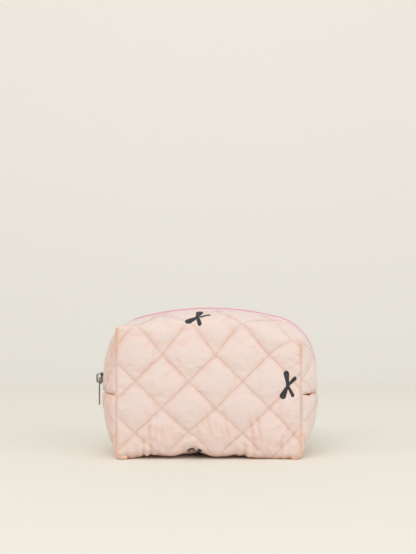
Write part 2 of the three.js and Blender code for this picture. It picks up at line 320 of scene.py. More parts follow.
def topSurface(slump, cosines, inset=0.0, finer=1):
    # across the top the cloth rises from the outer edge to the zip line as one less the square of the
    # share of the half depth, to a power: one half would be an ellipse, and more is flatter
    zipPlace, edgeX, edgeZ = columnLines(slump, inset, finer)
    x, z, nx, nz = zipAt(zipPlace)
    x, z = x - nx * inset, z - nz * inset
    place = (zipPlace / zipLength)[:, None]
    leftFlat, rightFlat = form["shoulderFlat"]
    flatter = 0.6 + leftFlat * bump(place, 0.25, 0.11) + rightFlat * bump(place, 0.76, 0.13)
    share = (1 - cosines ** 2)[None, :] ** flatter
    y = -(halfDepth - inset) * cosines[None, :] + 0 * x[:, None]
    sink = form["zipSink"] * (1 - smooth((-y - 6 * mm) / (16 * mm)))
    return np.stack([
        edgeX[:, None] + (x - edgeX)[:, None] * share - nx[:, None] * sink,
        y,
        edgeZ[:, None] + (z - edgeZ)[:, None] * share - nz[:, None] * sink,
    ], -1)


def bottomEdge(x, arches):
    # height of the bottom edge: a sum of bells
    return sum(height * bump(x, centre, width) for centre, height, width in arches)


def roundedCorner(q, radius):
    # q is the length along an L, nought at its corner, which is rounded to a quarter circle;
    # gives the height above the L's foot and the distance in from its upright
    quarter = math.pi * radius / 4
    angle = np.clip((q + quarter) / radius, 0, math.pi / 2)
    height = np.where(q < -quarter, radius - quarter - q, radius * (1 - np.sin(angle)))
    inward = np.where(q > quarter, radius + q - quarter, radius * (1 - np.cos(angle)))
    return height, inward


def wallSurface(x, foldZ, arches, inset=0.0, finer=1):
    # a wall from its top fold down, round the bottom edge and in to the middle of the base;
    # it swells by half a sine of the height, times one less the square of x over half the width
    cells = form["cell"]
    radius = form["bottomRadius"]
    arch = bottomEdge(x, arches)[:, None]
    share = (x[:, None] / halfFace) ** 2
    down = np.linspace(0, 1, cells["wallTop"] * finer + 1)[None, :]
    upper = foldZ[:, None] + (form["wallTopZ"] - foldZ[:, None]) * down
    quarter = math.pi * radius / 4
    depth = halfDepth - inset
    start = inset + radius - quarter - form["wallTopZ"]
    lower = np.linspace(0, 1, cells["wall"] * finer + 1)[None, 1:]
    inner = np.linspace(0, 1, cells["base"] * finer + 1)[None, 1:]
    along = np.concatenate([start * (1 - lower), (depth - radius + quarter) * inner], 1)
    height, inward = roundedCorner(along, radius)
    height, inward = height + 0 * arch, inward + 0 * arch
    lifted = np.concatenate([arch * lower ** 5, arch * (1 - smooth(1.6 * inner))], 1)
    lifted = lifted + form["baseLift"] * (1 - share) * smooth(inward / depth)
    z = np.concatenate([upper, height + inset + lifted], 1)
    inward = np.concatenate([0 * upper, inward], 1)
    swell = form["wallSwell"] * (1 - share) * np.sin(math.pi * np.clip(z / foldTopZ, 0, 1) ** 0.85)
    y = inward - depth - swell * (1 - smooth(inward / radius))
    return np.stack([x[:, None] + 0 * z, y, z], -1)


def shellSurface(slump, arches, near, inset=0.0, finer=1):
    # top and wall in one grid, joined along the top fold; the ends' columns stop at the corner seam
    cells = form["cell"]
    ear, across, top = (cells[k] * finer for k in ("ear", "across", "top"))
    upper = topSurface(slump, evenCosines(near, 1.0, top), inset, finer)
    fold = upper[ear:ear + across + 1, top]
    wall = wallSurface(fold[:, 0], fold[:, 2], arches, inset, finer)
    points = np.concatenate([upper, np.repeat(upper[:, -1:], wall.shape[1] - 1, axis=1)], 1)
    points[ear:ear + across + 1, top:] = wall
    used = np.ones(points.shape[:2], bool)
    used[:ear, top + 1:] = used[ear + across + 1:, top + 1:] = False
    return points, used


def endSurface(side, inset=0.0, finer=1):
    # an end panel: swells by a quarter sine from the base to the end seam, and by half a sine from
    # one corner seam to the other; its foot is rounded and turns in under the base
    cells = form["cell"]
    radius = form["bottomRadius"]
    quarter = math.pi * radius / 4
    across = np.linspace(0, 1, cells["end"] * finer + 1)[:, None]
    start = radius - quarter - seamZ + inset
    down = np.linspace(0, 1, cells["endUp"] * finer + 1)[None, :]
    height, inward = roundedCorner(start + (quarter + 2 * mm - start) * down, radius)
    z = height + inset
    swell = (zipEndX - halfFace) * np.sin(math.pi / 2 * np.clip(z / seamZ, 0, 1))
    angle = math.pi * (0.5 - np.arcsin(1 - 2 * across) / math.pi)
    x = halfFace - inset + swell * np.sin(angle) - inward
    return np.stack([side * x, -(halfDepth - inset) * np.cos(angle) + 0 * z, z + 0 * angle], -1)


def makeSheet(points, used=None, flip=False, finer=1):
    # points and faces of a grid; column and row count in cells, of which each is cut into finer squares
    used = np.ones(points.shape[:2], bool) if used is None else used
    i, j = np.nonzero(used)
    index = np.full((used.shape[0] + 2 * finer, used.shape[1] + 2 * finer), -1)
    index[i, j] = np.arange(len(i))
    return {"points": points[used], "faces": gridFaces(used.shape, used, flip), "i": i, "j": j,
            "column": i / finer, "row": j / finer, "index": index, "finer": finer}


def atBorder(sheet):
    # points with no neighbour on one of their four sides
    i, j, index = sheet["i"], sheet["j"], sheet["index"]
    beside = [index[i + a, j + b] for a, b in ((1, 0), (-1, 0), (0, 1), (0, -1))]
    return np.minimum.reduce(beside) < 0


def sheetNormals(sheet):
    # each point's normal is the sum of its faces' diagonals' cross products, as long as one
    a, b, c, d = (sheet["points"][sheet["faces"][:, k]] for k in range(4))
    across = np.cross(c - a, d - b)
    total = np.zeros_like(sheet["points"])
    for k in range(4):
        np.add.at(total, sheet["faces"][:, k], across)
    return total / np.maximum(np.linalg.norm(total, axis=1, keepdims=True), 1e-15)


def neighbourMean(sheet, values):
    # the mean of the values at the ends of the edges that meet at each point
    total, count = np.zeros_like(values), np.zeros(len(values))
    for k in range(4):
        here, there = sheet["faces"][:, k], sheet["faces"][:, (k + 1) % 4]
        np.add.at(total, here, values[there])
        np.add.at(total, there, values[here])
        np.add.at(count, here, 1)
        np.add.at(count, there, 1)
    return total / (count if values.ndim == 1 else count[:, None])


def hollows(sheet, depth=0.3 * mm):
    # 1 where the cloth is hollow: its points, each moved to its neighbours' mean a few times over,
    # come to stand further out than it does
    mean = sheet["points"]
    for _ in range(5):
        mean = neighbourMean(sheet, mean)
    amount = np.clip(((mean - sheet["points"]) * sheetNormals(sheet)).sum(1) / depth, 0, 1)
    return neighbourMean(sheet, neighbourMean(sheet, amount))


quilting = {
    "seed": 7,
    "creases": 0.006,  # for each point of the grid
    "creaseHeight": 0.24 * mm,
    "puff": 1.0 * mm,  # height of a diamond before the cloth settles
    "finer": 2,
    "frames": 16,
    "scale": 10,  # the cloth is settled this many times as large, where the solver is steadier
    "pressure": 0.8,
    "slackLeast": -0.012,  # how much larger than its space the cloth is, with no slack
    "slackMost": -0.075,
    "mostMove": 3.2 * mm,
    "thickness": 3.2 * mm,
    "zipThickness": 0.2,  # share of the thickness left at the zip, reached over the next rows
    "zipRows": 6,
    "smoothing": 0.35,
    "solver": {
        "quality": 5,
        "mass": 0.25,
        "air_damping": 3,
        "tension_stiffness": 12,
        "compression_stiffness": 8,
        "shear_stiffness": 3,
        "bending_stiffness": 0.12,
    },
}


def diamonds(column, row):
    # how many lines of each direction lie before a point: whole numbers are on a line
    first, second = form["crossing"]
    acrossHalves = (column - first) / (2 * form["half"])
    downHalves = (row - second) / (2 * form["half"])
    return acrossHalves + downHalves, acrossHalves - downHalves


def onLine(value):
    return np.abs(value - np.round(value)) < 1e-6


def settle(name, sheet, held, slack, mostMove):
    # the sheet, held along its stitches, is a little larger than its space and puffs up between them
    scale = quilting["scale"]
    piece = meshFrom(name + "_settling", sheet["points"] * scale, sheet["faces"])
    stitched = piece.vertex_groups.new(name="stitched")
    stitched.add(np.flatnonzero(held).tolist(), 1.0, "REPLACE")
    loose = piece.vertex_groups.new(name="loose")
    level = np.round(np.clip(slack, 0, 1) * 10).astype(int)
    for step in range(11):
        loose.add(np.flatnonzero(level == step).tolist(), step / 10, "REPLACE")
    cloth = piece.modifiers.new("cloth", "CLOTH")
    cloth.point_cache.frame_start = 1
    cloth.point_cache.frame_end = quilting["frames"]
    for key, value in quilting["solver"].items():
        setattr(cloth.settings, key, value)
    cloth.settings.vertex_group_mass = "stitched"
    cloth.settings.vertex_group_shrink = "loose"
    cloth.settings.shrink_min = quilting["slackLeast"]
    cloth.settings.shrink_max = quilting["slackMost"]
    cloth.settings.use_pressure = True
    cloth.settings.uniform_pressure_force = quilting["pressure"]
    cloth.settings.effector_weights.gravity = 0
    cloth.collision_settings.use_collision = False
    cloth.collision_settings.use_self_collision = False
    scene = bpy.context.scene
    for step in range(1, quilting["frames"] + 1):
        scene.frame_set(step)
    settled = piece.evaluated_get(bpy.context.evaluated_depsgraph_get()).to_mesh()
    points = np.zeros(len(settled.vertices) * 3, np.float32)
    settled.vertices.foreach_get("co", points)
    used = piece.data
    bpy.data.objects.remove(piece)
    bpy.data.meshes.remove(used)
    scene.frame_set(1)
    move = points.reshape(-1, 3) / scale - sheet["points"]
    length = np.linalg.norm(move, axis=1)
    return sheet["points"] + move * np.minimum(1, mostMove / np.maximum(length, 1e-9))[:, None]


def creases(sheet):
    # shallow creases: each a wave along a random direction, kept to a long random patch by a bell
    chance = np.random.default_rng(quilting["seed"])
    place = np.stack([sheet["column"] * form["cellWide"], sheet["row"] * form["cellHigh"]], -1)
    total = np.zeros(len(place))
    for _ in range(int(len(place) * quilting["creases"])):
        centre = place[chance.integers(len(place))]
        angle = chance.uniform(0, math.pi)
        length, size = chance.uniform(6, 13) * mm, chance.uniform(6, 15) * mm
        apart = place - centre
        across = apart @ np.array([math.cos(angle), math.sin(angle)])
        along = apart @ np.array([-math.sin(angle), math.cos(angle)])
        patch = np.exp(-((across / length) ** 2) - (along / size) ** 2)
        total += patch * np.cos(2 * math.pi * across / length)
    return quilting["creaseHeight"] * total


def puffed(name, sheet, held, slack, calm=1.0):
    # each diamond starts as a low dome, the product of a sine along each of its directions
    a, b = diamonds(sheet["column"], sheet["row"])
    dome = (np.abs(np.sin(math.pi * a)) * np.abs(np.sin(math.pi * b))) ** 0.5
    free = ~(held | onLine(a) | onLine(b))
    height = quilting["puff"] * dome * free * calm + creases(sheet) * free
    sheet["points"] = sheet["points"] + sheetNormals(sheet) * height[:, None]
    sheet["points"] = settle(name, sheet, ~free, slack, quilting["mostMove"] * (0.15 + 0.85 * calm))
    mean = neighbourMean(sheet, sheet["points"])
    sheet["points"] = sheet["points"] + quilting["smoothing"] * (mean - sheet["points"]) * free[:, None]
    print(name, "quilted", len(sheet["points"]), "points")
    return sheet


seams = {
    "cornerDip": -0.4 * mm,  # less than nothing: the seam stands proud of the cloth's own line
    "cornerWidth": 2.8 * mm,
    "endDip": 1.5 * mm,
    "endWidth": 3.6 * mm,
}


def cornerDistance(points):
    # distance in x and y from the nearest corner seam
    return np.hypot(np.abs(points[..., 0]) - halfFace, np.abs(points[..., 1]) - halfDepth)


def cornerRoll(points):
    # cloth stands out at each corner seam: along the diagonal, by a bell of the distance to the
    # seam; it dips into each end seam: inwards in x, by a bell of the height above or below it;
    # one front corner seam is drawn in as well
    side, face = np.sign(points[..., 0]), np.sign(points[..., 1])
    distance = cornerDistance(points)
    dip = seams["cornerDip"] * np.exp(-((distance / seams["cornerWidth"]) ** 2))
    onEnd = smooth((np.abs(points[..., 0]) - halfFace) / (4 * mm)) * (distance > 0.1 * mm)
    endDip = seams["endDip"] * bump(points[..., 2], seamZ, seams["endWidth"]) * onEnd
    drawn = form["seamIn"] * smooth((points[..., 0] - halfFace + 22 * mm) / (22 * mm))
    drawn = drawn * (1 - smooth((points[..., 0] - halfFace) / (12 * mm)))
    drawn = drawn * smooth(-points[..., 1] / halfDepth)
    move = np.stack([-side * (dip + endDip) - drawn, -face * dip, 0 * dip], -1)
    return points + move


def clothPlace(sheet):
    # a point's place on the flat cloth: columns and rows of one cell, measured from a crossing
    first, second = form["crossing"]
    u = 4.8 * mm + (sheet["column"] - first) * form["cellWide"]
    v = form["wallTopZ"] - (sheet["row"] - second) * form["cellHigh"]
    return np.stack([u, v], -1)


def clothTint(sheet):
    # how deep the painted warm shade is: hollows, the ends of the corner seams, the end seams, the lower
    # wall, the underside and the left end
    x, y, z = sheet["points"].T
    toCorner = sheet["toCorner"]
    seamEnds = smooth((z - 84 * mm) / (14 * mm)) + smooth((34 * mm - z) / (16 * mm))
    tint = 0.85 * hollows(sheet) + bump(toCorner, 0, 2.4 * mm) * (0.3 + 0.6 * seamEnds)
    tint += 0.25 * bump(toCorner, 0, 9 * mm) * smooth((z - 92 * mm) / (14 * mm))
    tint += 1.1 * bump(z, seamZ, 1.9 * mm) * (np.abs(x) > halfFace)
    tint += 0.14 * smooth((50 * mm - z) / (50 * mm)) + 0.8 * smooth((6 * mm - z) / (5 * mm))
    tint += 0.5 * bump(toCorner, 0, 5 * mm) * smooth((z - 96 * mm) / (12 * mm)) * (np.abs(x) > halfFace)
    tint += sheet.get("under", 0)
    tint += form["leftShade"] * smooth((-x - halfFace) / (6 * mm))
    return np.clip(tint, 0, 1)


def shellPiece(name, slump, arches, mirrored, gathers, material):
    # a front or back shell: top, wall and half the base in one cloth; gathers are cosine ripples,
    # each kept to its place by a bell across it and a bell of the height
    points, used = shellSurface(slump, arches, clothEdgeY / halfDepth, 0, quilting["finer"])
    toCorner = cornerDistance(points)[used]
    if mirrored:
        points = points * [1, -1, 1]
    points = cornerRoll(points)
    sheet = makeSheet(points, used, not mirrored, quilting["finer"])
    sheet["toCorner"] = toCorner
    bottomRow = sum(form["cell"][part] for part in ("top", "wallTop", "wall"))
    # painted shade: the rows past the bottom edge, under the base, are given the warm shade colour in full
    sheet["under"] = smooth((sheet["row"] - bottomRow + 0.5) / 2)
    x, y, z = sheet["points"].T
    slack = 0.3 + 0.5 * smooth((48 * mm - z) / (40 * mm)) + 0.3 * bump(toCorner, 0, 20 * mm)
    ripple = 0 * x
    for centre, height, wide, tall, amount, lean in gathers:
        across = x - centre - lean * (z - height)
        wave = amount * np.cos(2 * math.pi * across / wide)
        ripple = ripple + wave * bump(across, 0, wide) * bump(z, height, tall)
    onWall = (sheet["row"] > form["cell"]["top"]) & (z > 3 * mm)
    sheet["points"] = sheet["points"] + sheetNormals(sheet) * (ripple * onWall)[:, None]
    calm = smooth(sheet["row"] / 12) * (1 - 0.45 * bump(sheet["row"], 14, 9))
    puffed(name, sheet, atBorder(sheet), slack, calm)
    sheet["points"][:, 2] = np.maximum(sheet["points"][:, 2], form["resting"])
    # each point carries its amount of painted warm shade
    piece = clothPiece(name, sheet, clothPlace(sheet), quilting["thickness"], material,
                       {"paintedShade": clothTint(sheet)})
    full = piece.vertex_groups.new(name="full")
    rows = np.minimum(sheet["row"], quilting["zipRows"])
    for step in np.unique(rows):
        full.add(np.flatnonzero(rows == step).tolist(), step / quilting["zipRows"], "REPLACE")
    piece.modifiers["thickness"].vertex_group = "full"
    piece.modifiers["thickness"].thickness_vertex_group = quilting["zipThickness"]
    return piece, sheet


def addNode(tree, kind, inputs=None, **settings):
    # a shader node; each input is a fixed value or another node's socket
    node = tree.nodes.new("ShaderNode" + kind)
    for key, value in settings.items():
        setattr(node, key, value)
    for socket, value in (inputs or {}).items():
        if isinstance(value, bpy.types.NodeSocket):
            tree.links.new(value, node.inputs[socket])
        else:
            node.inputs[socket].default_value = value
    return node


def sumNode(tree, operation, a, b=0.0, clamp=False):
    return addNode(tree, "Math", {0: a, 1: b}, operation=operation, use_clamp=clamp).outputs[0]


def vectorNode(tree, operation, inputs):
    node = addNode(tree, "VectorMath", inputs, operation=operation)
    return node.outputs["Vector" if operation in ("SUBTRACT", "SCALE") else "Value"]


def rangeNode(tree, value, low, high, toLow=0.0, toHigh=1.0, **settings):
    # low to high becomes toLow to toHigh, and nothing goes past them
    inputs = {"Value": value, "From Min": low, "From Max": high, "To Min": toLow, "To Max": toHigh}
    return addNode(tree, "MapRange", inputs, **settings).outputs[0]


def mixNode(tree, share, first, second):
    return addNode(tree, "Mix", {0: share, 6: first, 7: second}, data_type="RGBA").outputs[2]


def bumpNode(tree, height, strength, distance, under=None):
    # lifts the surface by the height, over another bump if there is one under it
    inputs = {"Height": height, "Strength": strength, "Distance": distance}
    if under is not None:
        inputs["Normal"] = under
    return addNode(tree, "Bump", inputs).outputs[0]


ribbon = {
    "loopLength": 10.2 * mm,
    "loopAngle": math.radians(71),
    "loopEnd": 3.2 * mm,
    "loopStart": 1.4 * mm,
    "tailLength": 10 * mm,
    "tailAngle": math.radians(48.5),
    "tailEnd": 1.9 * mm,
    "tailStart": 1.4 * mm,
    "knot": 2.3 * mm,
    "softEdge": 0.12 * mm,
    "colour": (0.042, 0.042, 0.048, 1),
}


def ribbonBow():
    # how much of a bow covers a point: two loops, two tails and a knot, each a strip with round
    # ends that widens from the knot, taken as distances and the least of them kept
    tree = bpy.data.node_groups.new("ribbonBow", "ShaderNodeTree")
    for name, way, kind in (("Place", "INPUT", "Vector"), ("Knot", "INPUT", "Vector"),
                            ("Turn", "INPUT", "Float"), ("Cover", "OUTPUT", "Float")):
        tree.interface.new_socket(name, in_out=way, socket_type="NodeSocket" + kind)
    given = tree.nodes.new("NodeGroupInput")
    moved = vectorNode(tree, "SUBTRACT", {0: given.outputs["Place"], 1: given.outputs["Knot"]})
    turned = addNode(tree, "VectorRotate", {"Vector": moved, "Angle": given.outputs["Turn"]},
                     rotation_type="Z_AXIS").outputs[0]
    strips = []
    for facing, spread, length, start, end in (
        (math.pi, ribbon["loopAngle"], ribbon["loopLength"], ribbon["loopStart"], ribbon["loopEnd"]),
        (0, ribbon["tailAngle"], ribbon["tailLength"], ribbon["tailStart"], ribbon["tailEnd"]),
    ):
        for side in (-1, 1):
            angle = facing + side * spread
            way = (math.cos(angle), math.sin(angle), 0)
            along = vectorNode(tree, "DOT_PRODUCT", {0: turned, 1: way})
            share = sumNode(tree, "DIVIDE", along, length, clamp=True)
            reach = vectorNode(tree, "SCALE", {0: tuple(length * k for k in way), "Scale": share})
            apart = vectorNode(tree, "DISTANCE", {0: turned, 1: reach})
            strips.append(sumNode(tree, "SUBTRACT", apart, rangeNode(tree, share, 0, 1, start, end)))
    middle = vectorNode(tree, "LENGTH", {0: turned})
    least = sumNode(tree, "SUBTRACT", middle, ribbon["knot"])
    for strip in strips:
        least = sumNode(tree, "MINIMUM", least, strip)
    cover = rangeNode(tree, least, ribbon["softEdge"], -ribbon["softEdge"])
    tree.links.new(cover, tree.nodes.new("NodeGroupOutput").inputs["Cover"])
    return tree


cloth = {
    # lit is the cloth's colour in full light; fold is a painted warm shade colour for hollows, seams and the
    # underside
    "lit": (0.762, 0.638, 0.598, 1),
    "fold": (0.80, 0.46, 0.33, 1),
    "roughness": 0.82,
    "sheen": 0.12,
    # painted shade in the stitched grooves of the quilting lines
    "lineShade": 0.09,
    "lineDepth": 0.4 * mm,
    "lineFade": (102 * mm, 118 * mm, 0.35),  # lines grow faint from the first height to the second
    "glow": 0.18,  # light that passes into the cloth, warmer than what it reflects
    "glowReach": 5 * mm,
    "threads": 0.5 * mm,
    "weaveDepth": 0.05 * mm,
    "crinkleDepth": 0.7 * mm,
}


def lineDistance(tree, place):
    # distance on the flat cloth to the nearest quilting line: u and v in diamonds, added for one
    # direction and subtracted for the other, less the nearest whole number
    first, second = 4.8 * mm, form["wallTopZ"]
    wide, high = 2 * form["half"] * form["cellWide"], 2 * form["half"] * form["cellHigh"]
    parts = addNode(tree, "SeparateXYZ", {0: place}).outputs
    u = sumNode(tree, "DIVIDE", sumNode(tree, "SUBTRACT", parts[0], first), wide)
    v = sumNode(tree, "DIVIDE", sumNode(tree, "SUBTRACT", parts[1], second), high)
    found = []
    for operation in ("ADD", "SUBTRACT"):
        share = sumNode(tree, "FRACT", sumNode(tree, "ADD", sumNode(tree, operation, u, v), 0.5))
        apart = sumNode(tree, "ABSOLUTE", sumNode(tree, "SUBTRACT", share, 0.5))
        found.append(sumNode(tree, "MULTIPLY", apart, wide * math.sqrt(0.5)))
    return sumNode(tree, "MINIMUM", found[0], found[1])


def quiltedCloth(name, bows, group):
    # colour goes from lit to fold, a painted warm shade, by each point's amount of painted shade; bows are
    # printed over it at their knots;
    # the surface is lifted by noise for crinkles and by two crossed waves for the weave
    material = bpy.data.materials.new(name)
    material.use_nodes = True
    tree = material.node_tree
    shader = tree.nodes["Principled BSDF"]
    shader.inputs["Roughness"].default_value = cloth["roughness"]
    shader.inputs["Sheen Weight"].default_value = cloth["sheen"]
    shader.inputs["Specular IOR Level"].default_value = 0.25
    shader.inputs["Subsurface Weight"].default_value = cloth["glow"]
    shader.inputs["Subsurface Scale"].default_value = cloth["glowReach"]
    shader.inputs["Subsurface Radius"].default_value = (1.0, 0.35, 0.2)
    # each point's amount of painted warm shade
    paintedShade = addNode(tree, "Attribute", attribute_name="paintedShade").outputs["Fac"]
    place = addNode(tree, "UVMap", uv_map="cloth").outputs[0]
    spot = addNode(tree, "TexCoord").outputs["Object"]
    broad = addNode(tree, "TexNoise", {"Vector": spot, "Scale": 45.0, "Detail": 3.0}).outputs["Fac"]
    amount = sumNode(tree, "MULTIPLY", paintedShade, rangeNode(tree, broad, 0, 1, 0.55, 1.45), clamp=True)
    toLine = lineDistance(tree, place)
    # painted shade: the colour darkens towards fold along the quilting lines
    line = rangeNode(tree, toLine, 0.2 * mm, 0.9 * mm, cloth["lineShade"], 0)
    # lines fade with the height on the cloth
    height = addNode(tree, "SeparateXYZ", {0: place}).outputs[1]
    fadeFrom, fadeTo, faint = cloth["lineFade"]
    strength = rangeNode(tree, height, fadeFrom, fadeTo, 1, faint)
    line = sumNode(tree, "MULTIPLY", line, strength)
    amount = sumNode(tree, "ADD", sumNode(tree, "MULTIPLY", amount, 0.7), line, clamp=True)
    colour = mixNode(tree, amount, cloth["lit"], cloth["fold"])
    for knot, turn in bows:
        bow = tree.nodes.new("ShaderNodeGroup")
        bow.node_tree = group
        tree.links.new(place, bow.inputs["Place"])
        bow.inputs["Knot"].default_value = (knot[0], knot[1], 0)
        bow.inputs["Turn"].default_value = turn
        colour = mixNode(tree, bow.outputs[0], colour, ribbon["colour"])
    tree.links.new(colour, shader.inputs["Base Color"])
    crinkle = addNode(tree, "TexNoise", {
        "Vector": spot, "Scale": 55.0, "Detail": 3.0, "Roughness": 0.5,
        "Offset": 1.0, "Gain": 1.2, "Distortion": 0.5,
    }, noise_type="RIDGED_MULTIFRACTAL").outputs["Fac"]
    lifted = bumpNode(tree, crinkle, 0.5, cloth["crinkleDepth"])
    groove = rangeNode(tree, toLine, 0, 1.1 * mm, interpolation_type="SMOOTHSTEP")
    groove = sumNode(tree, "MULTIPLY", groove, strength)
    lifted = bumpNode(tree, groove, 0.6, cloth["lineDepth"], lifted)
    weave = None
    for direction in ("X", "Y"):
        wave = addNode(tree, "TexWave", {"Vector": place, "Scale": 0.314 / cloth["threads"]},
                       bands_direction=direction).outputs["Fac"]
        weave = wave if weave is None else sumNode(tree, "MULTIPLY", weave, wave)
    woven = bumpNode(tree, weave, 0.4, cloth["weaveDepth"], lifted)
    tree.links.new(woven, shader.inputs["Normal"])
    return material


def endPiece(name, side, material):
    # an end panel, quilted like the walls; its top edge is in the end seam
    cells = form["cell"]
    finer = quilting["finer"]
    points = endSurface(side, 0, finer)
    sheet = makeSheet(cornerRoll(points), None, side > 0, finer)
    sheet["toCorner"] = cornerDistance(points).reshape(-1)
    centre = np.array([cells["end"] // 2, cells["endUp"] // 2])
    sheet["column"] = sheet["column"] - centre[0] + form["crossing"][0]
    sheet["row"] = sheet["row"] - centre[1] + form["crossing"][1]
    x, y, z = sheet["points"].T
    toSeam = np.minimum(sheet["toCorner"], np.abs(z - seamZ))
    slack = 0.35 + 0.4 * bump(toSeam, 0, 14 * mm)
    puffed(name, sheet, atBorder(sheet), slack)
    sheet["points"][:, 2] = np.maximum(sheet["points"][:, 2], form["resting"])
    # each point carries its amount of painted warm shade
    piece = clothPiece(name, sheet, clothPlace(sheet), quilting["thickness"], material,
                       {"paintedShade": clothTint(sheet)})
    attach(piece, "bag_body")
    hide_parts(*[sideName(side) + "_end_" + layer for layer in ("panel", "wadding")])
    return sheet


def sideName(side):
    return "left" if side < 0 else "right"


def tube(path, a, b, sides=12, power=1.0):
    # a closed bar along a path: each section is a superellipse on half axes a and b,
    # cosine and sine raised to a power; its two ends are fans about their middles
    angle = np.linspace(0, 2 * math.pi, sides, endpoint=False)
    c, s = np.cos(angle), np.sin(angle)
    c, s = np.sign(c) * np.abs(c) ** power, np.sign(s) * np.abs(s) ** power
    ring = path[:, None] + a[:, None] * c[None, :, None] + b[:, None] * s[None, :, None]
    count = len(path)
    used = np.ones((count, sides), bool)
    quads = gridFaces(used.shape, used, wrapJ=True)
    points = np.concatenate([ring.reshape(-1, 3), path[:1], path[-1:]])
    here = np.arange(sides)
    there = (here + 1) % sides
    first = np.stack([0 * here + count * sides, there, here], -1)
    base = (count - 1) * sides
    last = np.stack([0 * here + count * sides + 1, base + here, base + there], -1)
    return points, [quads, np.concatenate([first, last])]


thread = {
    "radius": 0.2 * mm,
    "share": 0.74,  # of the distance between needle holes that a stitch spans
    "rise": 0.22 * mm,
    "sides": 6,
}


def stitchBars(starts, ends):
    # one capsule for each pair of points: rings at four places along it, small at both ends
    middle, half = (starts + ends) / 2, (ends - starts) / 2 * thread["share"]
    size = np.linalg.norm(half, axis=1, keepdims=True)
    along = half / np.maximum(size, 1e-12)
    across = np.cross(along, [0.31, 0.52, 0.79])
    across /= np.linalg.norm(across, axis=1, keepdims=True)
    over = np.cross(along, across)
    angle = np.linspace(0, 2 * math.pi, thread["sides"], endpoint=False)
    places = np.array([-1, -0.8, 0.8, 1])
    widths = np.array([0.45, 1, 1, 0.45]) * thread["radius"]
    rim = np.cos(angle)[:, None] * across[:, None, None] + np.sin(angle)[:, None] * over[:, None, None]
    points = (middle + 0 * half)[:, None, None] + half[:, None, None] * places[:, None, None]
    points = points + rim * widths[:, None, None]
    count, sides, rings = len(starts), thread["sides"], len(places)
    used = np.ones((rings, sides), bool)
    quads = gridFaces(used.shape, used, wrapJ=True)
    step = (np.arange(count) * rings * sides)[:, None, None]
    caps = np.stack([np.arange(sides)[::-1], np.arange(sides) + (rings - 1) * sides])
    return points.reshape(-1, 3), [(quads + step).reshape(-1, 4), (caps + step).reshape(-1, sides)]


def quiltStitches(name, sheet, material, topstitchRow=None):
    # a stitch along each cell's diagonal that lies on a quilting line, and a row by the zip;
    # the thread sinks into the print, so it takes the cloth's colour at its place
    i, j, index, finer = sheet["i"], sheet["j"], sheet["index"], sheet["finer"]
    a, b = diamonds(sheet["column"], sheet["row"])
    lifted = sheet["points"] + sheetNormals(sheet) * thread["rise"]
    place = clothPlace(sheet)
    starts, ends, places = [], [], []
    rows = [(onLine(a) & (j % finer == 0), -finer, finer), (onLine(b) & (j % finer == 0), finer, finer)]
    if topstitchRow is not None:
        rows.append(((j == topstitchRow * finer) & (i % finer == 0), finer, 0))
    for chosen, across, down in rows:
        here = np.flatnonzero(chosen)
        there = index[i[here] + across, j[here] + down]
        keep = there >= 0
        starts.append(lifted[here[keep]])
        ends.append(lifted[there[keep]])
        places.append((place[here[keep]] + place[there[keep]]) / 2)
    points, faces = stitchBars(np.concatenate(starts), np.concatenate(ends))
    places = np.concatenate(places)
    places = np.repeat(places, len(points) // len(places), axis=0)
    piece = dressed(meshFrom(name, points, faces, places), material)
    print(name, sum(len(part) for part in starts), "stitches")
    return piece


def bends(piece):
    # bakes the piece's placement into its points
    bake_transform(piece)


lining = {
    "inset": 4.5 * mm,
    "thickness": 0.5 * mm,
    "wrinkle": 0.35 * mm,
    "zipEdge": 12.4 * mm,  # the edge by the zip, from the zip line
    "toTape": 2.1 * mm,
    "shellFlat": (0.325, 0.179),
    "shellArea": 0.0302,
    "endFlat": (0.086, 0.056),
    "colour": (0.76, 0.60, 0.54, 1),
}


def liningShell(name, side, slump, arches, material):
    near = lining["zipEdge"] / (halfDepth - lining["inset"])
    points, used = shellSurface(slump, arches, near, lining["inset"])
    if side == "back":
        points = points * [1, -1, 1]
    sheet = makeSheet(points, used, flip=side == "front")
    x, y, z = sheet["points"].T
    # wrinkles: three long waves of different lengths and directions, multiplied;
    # the last rows rise to the underside of the zip tape, where the lining is sewn
    wave = np.sin(x / (7 * mm) + z / (11 * mm)) * np.cos(z / (9 * mm) - y / (6 * mm)) * np.sin(x / (17 * mm))
    rise = lining["toTape"] * (1 - smooth(sheet["row"] / 4)) - lining["wrinkle"] * (1 + wave)
    sheet["points"] = sheet["points"] + sheetNormals(sheet) * rise[:, None]
    piece = clothPiece(name, sheet, clothPlace(sheet), lining["thickness"], material)
    return piece


def endLining(side, material):
    # inside an end panel: wrinkles are two long waves multiplied
    name = sideName(side) + "_end_lining"
    sheet = makeSheet(endSurface(side, lining["inset"]), None, side > 0)
    x, y, z = sheet["points"].T
    wave = np.sin(y / (6 * mm) + z / (10 * mm)) * np.cos(z / (8 * mm) - y / (13 * mm))
    sheet["points"] = sheet["points"] - sheetNormals(sheet) * (lining["wrinkle"] * (1 + wave))[:, None]
    piece = clothPiece(name + "_cloth", sheet, clothPlace(sheet), lining["thickness"], material)
    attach(piece, "bag_body")
    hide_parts(name)


zipper = {
    "pitch": 1.35 * mm,
    "wire": 0.3 * mm,
    "coilHalfWide": 1.45 * mm,
    "coilHalfHigh": 0.55 * mm,
    "coilMiddle": 1.32 * mm,  # from the middle of the bag to the middle of each coil
    "stepsPerTurn": 8,
    "wireSides": 6,
    "tapeThickness": 0.6 * mm,
    "tapeColour": (0.86, 0.66, 0.70, 1),
    "coilColour": (0.92, 0.62, 0.68, 1),
}


